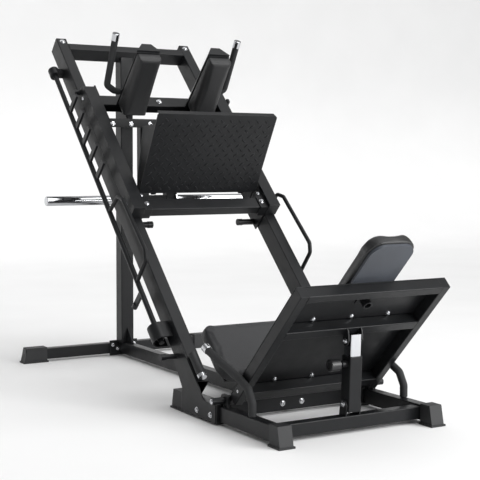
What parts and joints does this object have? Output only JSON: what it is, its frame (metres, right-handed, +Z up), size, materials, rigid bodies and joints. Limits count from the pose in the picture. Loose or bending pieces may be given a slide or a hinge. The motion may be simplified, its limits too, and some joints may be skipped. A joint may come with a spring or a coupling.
{
  "type": "hack squat machine",
  "caption": "Combined hack squat and leg press machine: a carriage with foot plate, shoulder pads and weight sleeves slides on inclined rails above a seat and tilting backrest panel.",
  "frame": {"origin": "on the floor, at the centre of the overall footprint (bounding box bottom centre)", "axes": "+Z up, +Y from the seat end towards the high end of the rails, +X to the right seen from the seat end; the right weight sleeve points along +X"},
  "size_m": [1.254, 2.5722, 1.789],
  "materials": {
    "black_paint": "satin powder coat",
    "black_rubber": "matte",
    "black_foam": "matte closed-cell foam",
    "seat_vinyl": "fine-grained vinyl",
    "black_vinyl": "semi-matte vinyl",
    "chrome": "polished",
    "zinc": "bright zinc",
    "grey_board": "smooth",
    "black_plastic": "satin",
    "roller_nylon": "satin"
  },
  "bodies": {
    "frame": {"rear_stabilizer": "black_paint", "rear_feet": "black_rubber", "rear_post": "black_paint", "center_spine": "black_paint", "seat_crossmember": "black_paint", "side_tube_left": "black_paint", "side_tube_right": "black_paint", "rail_foot_left": "black_paint", "rail_foot_right": "black_paint", "front_cross_tube": "black_paint", "side_tube_feet": "black_rubber", "rail_left": "black_paint", "rail_right": "black_paint", "top_cross_tube": "black_paint", "lock_shaft_bearings": "black_paint", "lower_buffers": "black_rubber", "seat_frame": "black_paint", "seat_pad": "seat_vinyl", "seat_handle_tubes": "black_paint", "seat_handle_grips": "black_foam", "chrome_end_caps": "chrome", "pivot_brackets": "black_paint", "panel_axle": "black_paint", "frame_bolts": "zinc"},
    "carriage": {"carriage_side_left": "black_paint", "carriage_side_right": "black_paint", "upper_crossbar": "black_paint", "lower_crossbar": "black_paint", "shoulder_plate": "black_paint", "shoulder_supports": "black_paint", "shoulder_pad_left": "black_vinyl", "shoulder_pad_right": "black_vinyl", "carriage_handle_grips": "black_foam", "carriage_handle_caps": "chrome", "footplate": "black_paint", "footplate_brackets": "black_paint", "hanger_frame": "black_paint", "weight_horns": "chrome", "carriage_bolts": "zinc"},
    "roller_lower_left": {"guide_roller_lower_left": "roller_nylon"},
    "roller_lower_right": {"guide_roller_lower_right": "roller_nylon"},
    "roller_upper_left": {"guide_roller_upper_left": "roller_nylon"},
    "roller_upper_right": {"guide_roller_upper_right": "roller_nylon"},
    "lock_shaft_left": {"lock_rod_left": "black_paint", "lock_fingers_left": "black_paint", "release_handle_left": "black_paint"},
    "lock_shaft_right": {"lock_rod_right": "black_paint", "lock_fingers_right": "black_paint", "release_handle_right": "black_paint"},
    "backrest_panel": {"panel_side_tubes": "black_paint", "panel_cross_tubes": "black_paint", "panel_plate": "black_paint", "panel_brackets": "black_paint", "backrest_board": "grey_board", "backrest_pad": "black_vinyl", "panel_bolts": "zinc"},
    "strut_outer": {"strut_outer_tube": "black_paint"},
    "strut_inner": {"strut_inner_tube": "chrome"},
    "pull_pin": {"pull_pin_plunger": "chrome", "pull_pin_knob": "black_plastic"}
  },
  "joints": [
    {"name": "carriage_slide", "type": "slide", "parent": "frame", "child": "carriage", "axis": [0, -0.7071, -0.7071], "range_m": [-0.2, 0.73]},
    {"name": "roller_lower_left_spin", "type": "hinge", "parent": "carriage", "child": "roller_lower_left", "pos_m": [-0.381, 0.27609, 0.90177], "axis": [1, 0, 0], "continuous": true},
    {"name": "roller_upper_left_spin", "type": "hinge", "parent": "carriage", "child": "roller_upper_left", "pos_m": [-0.381, 0.81349, 1.43917], "axis": [1, 0, 0], "continuous": true},
    {"name": "roller_lower_right_spin", "type": "hinge", "parent": "carriage", "child": "roller_lower_right", "pos_m": [0.381, 0.27609, 0.90177], "axis": [1, 0, 0], "continuous": true},
    {"name": "roller_upper_right_spin", "type": "hinge", "parent": "carriage", "child": "roller_upper_right", "pos_m": [0.381, 0.81349, 1.43917], "axis": [1, 0, 0], "continuous": true},
    {"name": "lock_left_turn", "type": "hinge", "parent": "frame", "child": "lock_shaft_left", "pos_m": [-0.455, 0.45662, 0.93338], "axis": [0, -0.7071, -0.7071], "range_deg": [-10, 55]},
    {"name": "lock_right_turn", "type": "hinge", "parent": "frame", "child": "lock_shaft_right", "pos_m": [0.455, 0.45662, 0.93338], "axis": [0, 0.7071, 0.7071], "range_deg": [-10, 55]},
    {"name": "panel_tilt", "type": "hinge", "parent": "frame", "child": "backrest_panel", "pos_m": [0, -0.6179, 0.107], "axis": [-1, 0, 0], "range_deg": [-8, 10]},
    {"name": "strut_swing", "type": "hinge", "parent": "frame", "child": "strut_outer", "pos_m": [0, -0.9869, 0.122], "axis": [-1, 0, 0], "range_deg": [-11, 13]},
    {"name": "strut_extend", "type": "slide", "parent": "strut_outer", "child": "strut_inner", "axis": [0, -0.0523, 0.9986], "range_m": [-0.056, 0.068]},
    {"name": "pull_pin_draw", "type": "slide", "parent": "strut_outer", "child": "pull_pin", "axis": [-1, 0, 0], "range_m": [0, 0.012], "stiffness_N_per_m": 400, "springref_m": -0.006}
  ],
  "couplings": [
    {"joint": "roller_lower_left_spin", "follows": "carriage_slide", "rad_per_m": 40},
    {"joint": "roller_upper_left_spin", "follows": "carriage_slide", "rad_per_m": 40},
    {"joint": "roller_lower_right_spin", "follows": "carriage_slide", "rad_per_m": 40},
    {"joint": "roller_upper_right_spin", "follows": "carriage_slide", "rad_per_m": 40},
    {"joint": "strut_swing", "follows": "panel_tilt", "ratio": 1.1},
    {"joint": "strut_extend", "follows": "panel_tilt", "m_per_rad": 0.368}
  ]
}
